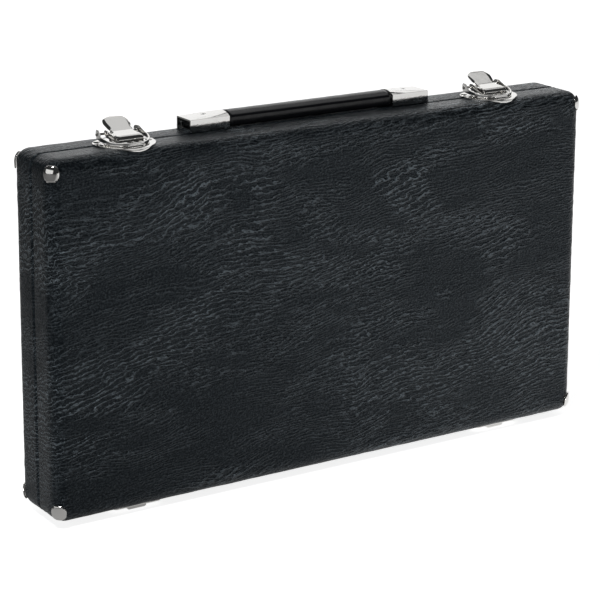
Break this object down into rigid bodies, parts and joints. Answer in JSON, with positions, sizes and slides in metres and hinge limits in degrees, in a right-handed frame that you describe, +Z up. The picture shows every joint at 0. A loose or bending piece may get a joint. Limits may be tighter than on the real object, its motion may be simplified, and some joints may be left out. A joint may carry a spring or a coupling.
{
  "type": "mouthpiece case",
  "caption": "Slim hard case covered in black leatherette, with a hinged lid, draw latches, strap handle, metal corner caps and a foam insert for brass mouthpieces.",
  "frame": {"origin": "on the surface the case stands on, under the centre of its bounding box", "axes": "+X along the case towards the right-hand latch, +Y from the lid towards the rear half, +Z up; the lid is on the -Y side and the hinges are underneath"},
  "size_m": [0.3618, 0.0458, 0.2202],
  "materials": {
    "leatherette": "semi-gloss black embossed with a soft crushed grain",
    "strap_vinyl": "smooth glossy black vinyl",
    "nickel": "bright nickel plate",
    "fasteners": "nickel plated steel",
    "board": "bare poplar plywood",
    "flocked_foam": "black flocked foam",
    "plush": "black short plush"
  },
  "bodies": {
    "rear_half": {"alignment_lip": "board", "handle_bracket_screws": "fasteners", "handle_cap_rivets": "fasteners", "handle_cross_pins": "fasteners", "hinge_pins": "fasteners", "hinge_rear_rivets": "fasteners", "latch_base_rivets": "fasteners", "left_handle_bracket": "nickel", "left_handle_cap": "nickel", "left_hinge_rear_leaf": "nickel", "left_latch_base": "nickel", "left_lever_pin": "fasteners", "left_strap_end": "strap_vinyl", "mouthpiece_insert": "flocked_foam", "rear_bottom_wall": "board", "rear_corner_caps": "nickel", "rear_covering": "leatherette", "rear_left_wall": "board", "rear_panel": "board", "rear_right_wall": "board", "rear_top_wall": "board", "right_handle_bracket": "nickel", "right_handle_cap": "nickel", "right_hinge_rear_leaf": "nickel", "right_latch_base": "nickel", "right_lever_pin": "fasteners", "right_strap_end": "strap_vinyl"},
    "lid": {"lid_panel": "board", "lid_top_wall": "board", "lid_bottom_wall": "board", "lid_left_wall": "board", "lid_right_wall": "board", "lid_covering": "leatherette", "lid_lining": "plush", "lid_pad": "plush", "lid_corner_caps": "nickel", "left_hinge_lid_leaf": "nickel", "right_hinge_lid_leaf": "nickel", "hinge_lid_rivets": "fasteners", "left_latch_catch": "nickel", "right_latch_catch": "nickel", "latch_catch_rivets": "fasteners"},
    "left_lever": {"left_latch_lever": "nickel", "left_hasp_pin": "fasteners"},
    "right_lever": {"right_latch_lever": "nickel", "right_hasp_pin": "fasteners"},
    "left_hasp": {"left_latch_hasp": "nickel"},
    "right_hasp": {"right_latch_hasp": "nickel"},
    "handle": {"handle_grip": "strap_vinyl"}
  },
  "joints": [
    {"name": "lid_hinge", "type": "hinge", "parent": "rear_half", "child": "lid", "pos_m": [0, 0, 0.0019], "axis": [1, 0, 0], "range_deg": [0, 110]},
    {"name": "left_lever_pivot", "type": "hinge", "parent": "rear_half", "child": "left_lever", "pos_m": [-0.124, -0.0065, 0.2104], "axis": [1, 0, 0], "range_deg": [0, 110]},
    {"name": "left_hasp_pivot", "type": "hinge", "parent": "left_lever", "child": "left_hasp", "pos_m": [-0.124, 0.0056, 0.2118], "axis": [1, 0, 0], "range_deg": [-110, 0]},
    {"name": "right_lever_pivot", "type": "hinge", "parent": "rear_half", "child": "right_lever", "pos_m": [0.124, -0.0065, 0.2104], "axis": [1, 0, 0], "range_deg": [0, 110]},
    {"name": "right_hasp_pivot", "type": "hinge", "parent": "right_lever", "child": "right_hasp", "pos_m": [0.124, 0.0056, 0.2118], "axis": [1, 0, 0], "range_deg": [-110, 0]},
    {"name": "handle_lift", "type": "slide", "parent": "rear_half", "child": "handle", "axis": [0, 0, 1], "range_m": [0, 0.014], "stiffness_N_per_m": 600}
  ],
  "couplings": [
    {"joint": "left_hasp_pivot", "follows": "left_lever_pivot", "ratio": -1},
    {"joint": "right_hasp_pivot", "follows": "right_lever_pivot", "ratio": -1}
  ]
}
